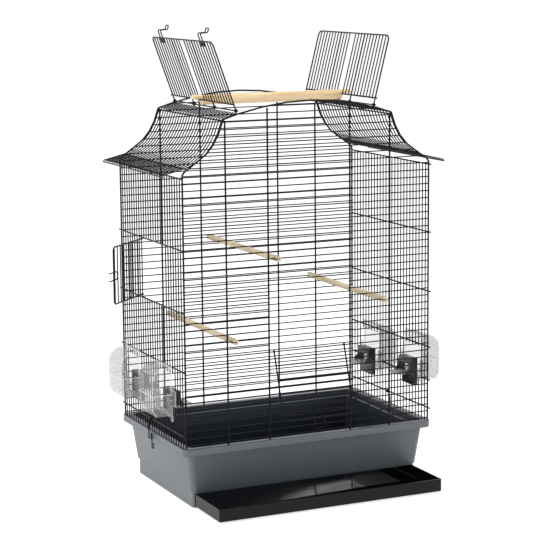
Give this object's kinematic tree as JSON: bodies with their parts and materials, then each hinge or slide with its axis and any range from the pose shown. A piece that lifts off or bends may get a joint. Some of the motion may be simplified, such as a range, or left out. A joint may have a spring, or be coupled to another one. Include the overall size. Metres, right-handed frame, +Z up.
{
  "type": "bird cage",
  "caption": "Rectangular wire bird cage with a deep plastic base, pull-out drawer, play-top roof flaps over a wooden perch, front and side doors and clear outside seed cups.",
  "frame": {"origin": "centre of the base's flat underside", "axes": "+X to the right along the width, +Y to the back with the front door at -Y, +Z up"},
  "size_m": [0.577, 0.376, 0.786],
  "materials": {
    "base": "satin moulded plastic",
    "drawer": "gloss",
    "wire": "black powder coat over steel wire",
    "perch_wood": "plain sanded dowel",
    "clear_plastic": "clear moulded plastic",
    "dark_plastic": "satin",
    "smoke_plastic": "smoked translucent plastic"
  },
  "bodies": {
    "cage": {"base_tray": "base", "seed_liner": "dark_plastic", "front_panel": "wire", "back_panel": "wire", "left_wall": "wire", "right_wall": "wire", "left_roof_wing": "wire", "right_roof_wing": "wire", "top_perch": "perch_wood", "perch_high": "perch_wood", "perch_right": "perch_wood", "perch_left": "perch_wood", "feeder_dome_left_back": "clear_plastic", "feeder_hood_left_back": "dark_plastic", "feeder_ledge_left_back": "smoke_plastic", "feeder_dome_left_front": "clear_plastic", "feeder_hood_left_front": "dark_plastic", "feeder_ledge_left_front": "smoke_plastic", "feeder_dome_right_back": "clear_plastic", "feeder_hood_right_back": "dark_plastic", "feeder_ledge_right_back": "smoke_plastic", "feeder_dome_right_front": "clear_plastic", "feeder_hood_right_front": "dark_plastic", "feeder_ledge_right_front": "smoke_plastic"},
    "drawer_body": {"drawer": "drawer"},
    "left_flap": {"left_roof_flap": "wire", "roof_hook_back": "wire", "roof_hook_front": "wire"},
    "right_flap": {"right_roof_flap": "wire"},
    "front_door_body": {"front_door": "wire", "front_door_latch": "wire"},
    "side_door_body": {"side_door": "wire", "side_door_latch": "wire"},
    "left_base_latch": {"base_latch_left": "wire"},
    "right_base_latch": {"base_latch_right": "wire"},
    "cup_left_back": {"seed_cup_left_back": "clear_plastic"},
    "cup_left_front": {"seed_cup_left_front": "clear_plastic"},
    "cup_right_back": {"seed_cup_right_back": "clear_plastic"},
    "cup_right_front": {"seed_cup_right_front": "clear_plastic"}
  },
  "joints": [
    {"name": "drawer_slide", "type": "slide", "parent": "cage", "child": "drawer_body", "axis": [0, -1, 0], "range_m": [-0.098, 0.06]},
    {"name": "left_flap_hinge", "type": "hinge", "parent": "cage", "child": "left_flap", "pos_m": [-0.1256, 0, 0.6534], "axis": [0, -1, 0], "range_deg": [0, 68]},
    {"name": "right_flap_hinge", "type": "hinge", "parent": "cage", "child": "right_flap", "pos_m": [0.1256, 0, 0.6534], "axis": [0, 1, 0], "range_deg": [0, 72]},
    {"name": "front_door_hinge", "type": "hinge", "parent": "cage", "child": "front_door_body", "pos_m": [0, -0.13898, 0.2527], "axis": [-1, 0, 0], "range_deg": [-7, 161.5]},
    {"name": "side_door_hinge", "type": "hinge", "parent": "cage", "child": "side_door_body", "pos_m": [-0.2258, 0.04354, 0.382], "axis": [0, 0, -1], "range_deg": [-47, 75]},
    {"name": "left_base_latch_hinge", "type": "hinge", "parent": "cage", "child": "left_base_latch", "pos_m": [-0.22807, 0.007, 0.1258], "axis": [0, 1, 0], "range_deg": [0, 75]},
    {"name": "right_base_latch_hinge", "type": "hinge", "parent": "cage", "child": "right_base_latch", "pos_m": [0.22807, 0.007, 0.1258], "axis": [0, -1, 0], "range_deg": [0, 75]},
    {"name": "cup_slide_left_back", "type": "slide", "parent": "cage", "child": "cup_left_back", "axis": [-1, 0, 0], "range_m": [0, 0.06]},
    {"name": "cup_slide_left_front", "type": "slide", "parent": "cage", "child": "cup_left_front", "axis": [-1, 0, 0], "range_m": [0, 0.06]},
    {"name": "cup_slide_right_back", "type": "slide", "parent": "cage", "child": "cup_right_back", "axis": [1, 0, 0], "range_m": [0, 0.06]},
    {"name": "cup_slide_right_front", "type": "slide", "parent": "cage", "child": "cup_right_front", "axis": [1, 0, 0], "range_m": [0, 0.06]}
  ]
}
